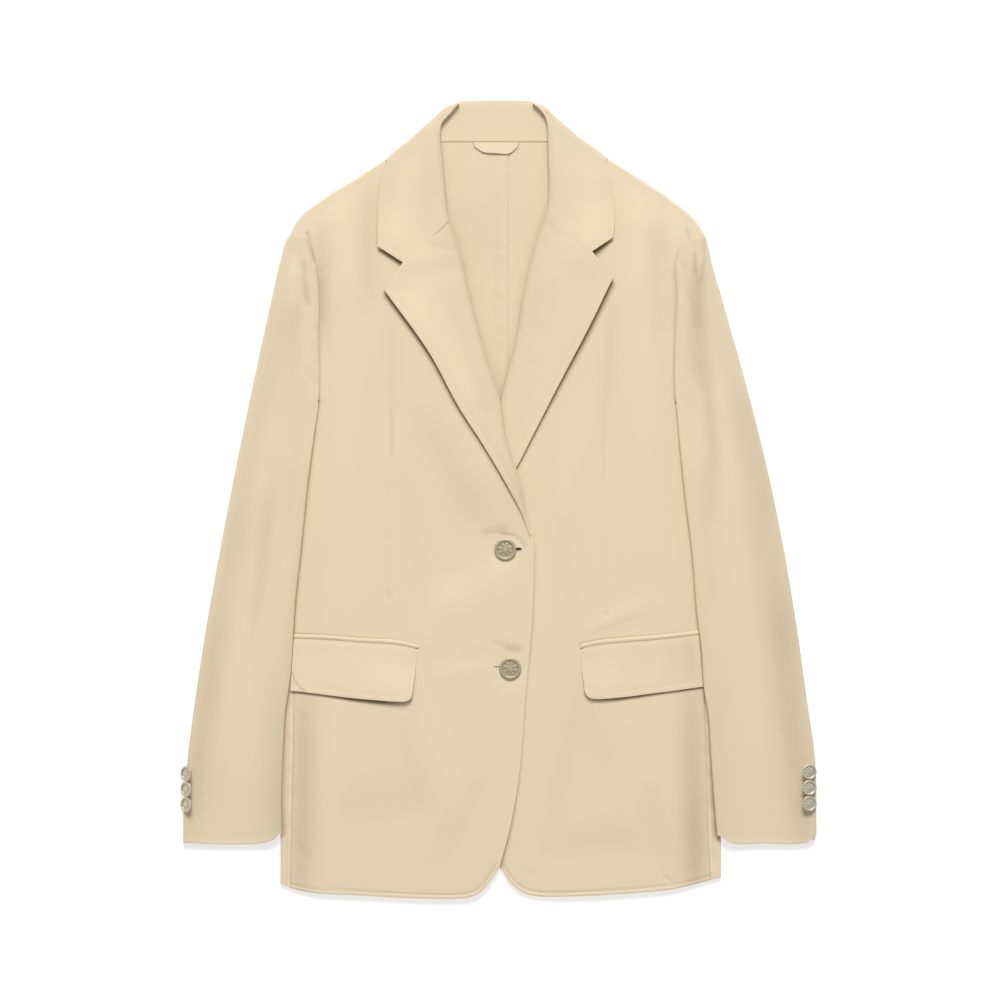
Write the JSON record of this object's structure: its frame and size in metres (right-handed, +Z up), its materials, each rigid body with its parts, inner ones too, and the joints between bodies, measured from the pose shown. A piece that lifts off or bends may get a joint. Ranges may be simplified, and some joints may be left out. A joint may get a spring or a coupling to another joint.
{
  "type": "single-breasted blazer",
  "caption": "Cream single-breasted blazer laid flat on its back, with notched lapels, flap pockets, long sleeves and metal buttons.",
  "frame": {"origin": "the middle of the blazer's outline, on the surface that it lies on", "axes": "+Z up, out of the fronts; +Y from the hem to the collar; +X towards the wearer's left sleeve"},
  "size_m": [0.6174, 0.7745, 0.0136],
  "materials": {
    "cloth": "matt fine-woven suiting",
    "button_metal": "matt, aged to a grey-beige tone"
  },
  "bodies": {
    "root": {"back_left": "cloth", "back_right": "cloth", "side_left": "cloth", "side_right": "cloth", "front_left": "cloth", "front_right": "cloth", "lapel_left": "cloth", "lapel_right": "cloth", "sleeve_top_left": "cloth", "sleeve_top_right": "cloth", "sleeve_under_left": "cloth", "sleeve_under_right": "cloth", "welt_left": "cloth", "welt_right": "cloth", "flap_left": "cloth", "flap_right": "cloth", "collar": "cloth", "hanger_loop": "cloth", "button_upper": "button_metal", "button_lower": "button_metal", "cuff_button_left_1": "button_metal", "cuff_button_left_2": "button_metal", "cuff_button_left_3": "button_metal", "cuff_button_right_1": "button_metal", "cuff_button_right_2": "button_metal", "cuff_button_right_3": "button_metal"}
  },
  "joints": []
}
